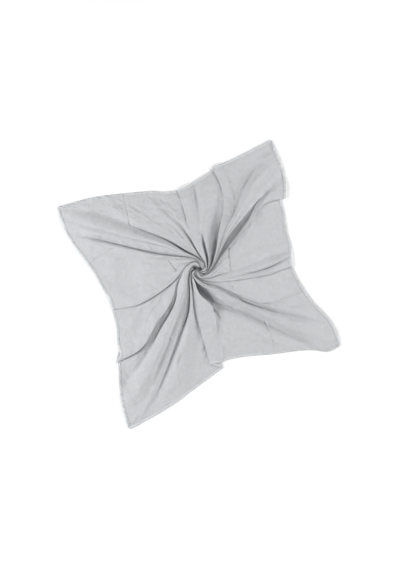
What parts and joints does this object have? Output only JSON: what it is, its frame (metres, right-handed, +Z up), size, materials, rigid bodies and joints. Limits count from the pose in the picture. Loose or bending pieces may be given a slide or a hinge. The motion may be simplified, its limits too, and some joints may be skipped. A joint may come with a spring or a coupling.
{
  "type": "hijab underscarf",
  "caption": "Square of thin pale-grey cotton voile with a narrow turned hem, laid flat with its middle pinched and twisted into radial folds.",
  "frame": {"origin": "on the ground, under the middle of the whole outline seen from above", "axes": "+Z up from the surface that the cloth lies on, +X along the north side towards the north-east corner, +Y towards the north side"},
  "size_m": [0.7674, 0.7844, 0.0343],
  "materials": {
    "voile": "soft matt plain-woven cotton voile, pale cool grey",
    "hem": "the same voile turned twice and stitched, a little denser"
  },
  "bodies": {
    "root": {"cloth_panel": "voile", "hem_north": "hem", "hem_east": "hem", "hem_south": "hem", "hem_west": "hem"}
  },
  "joints": []
}
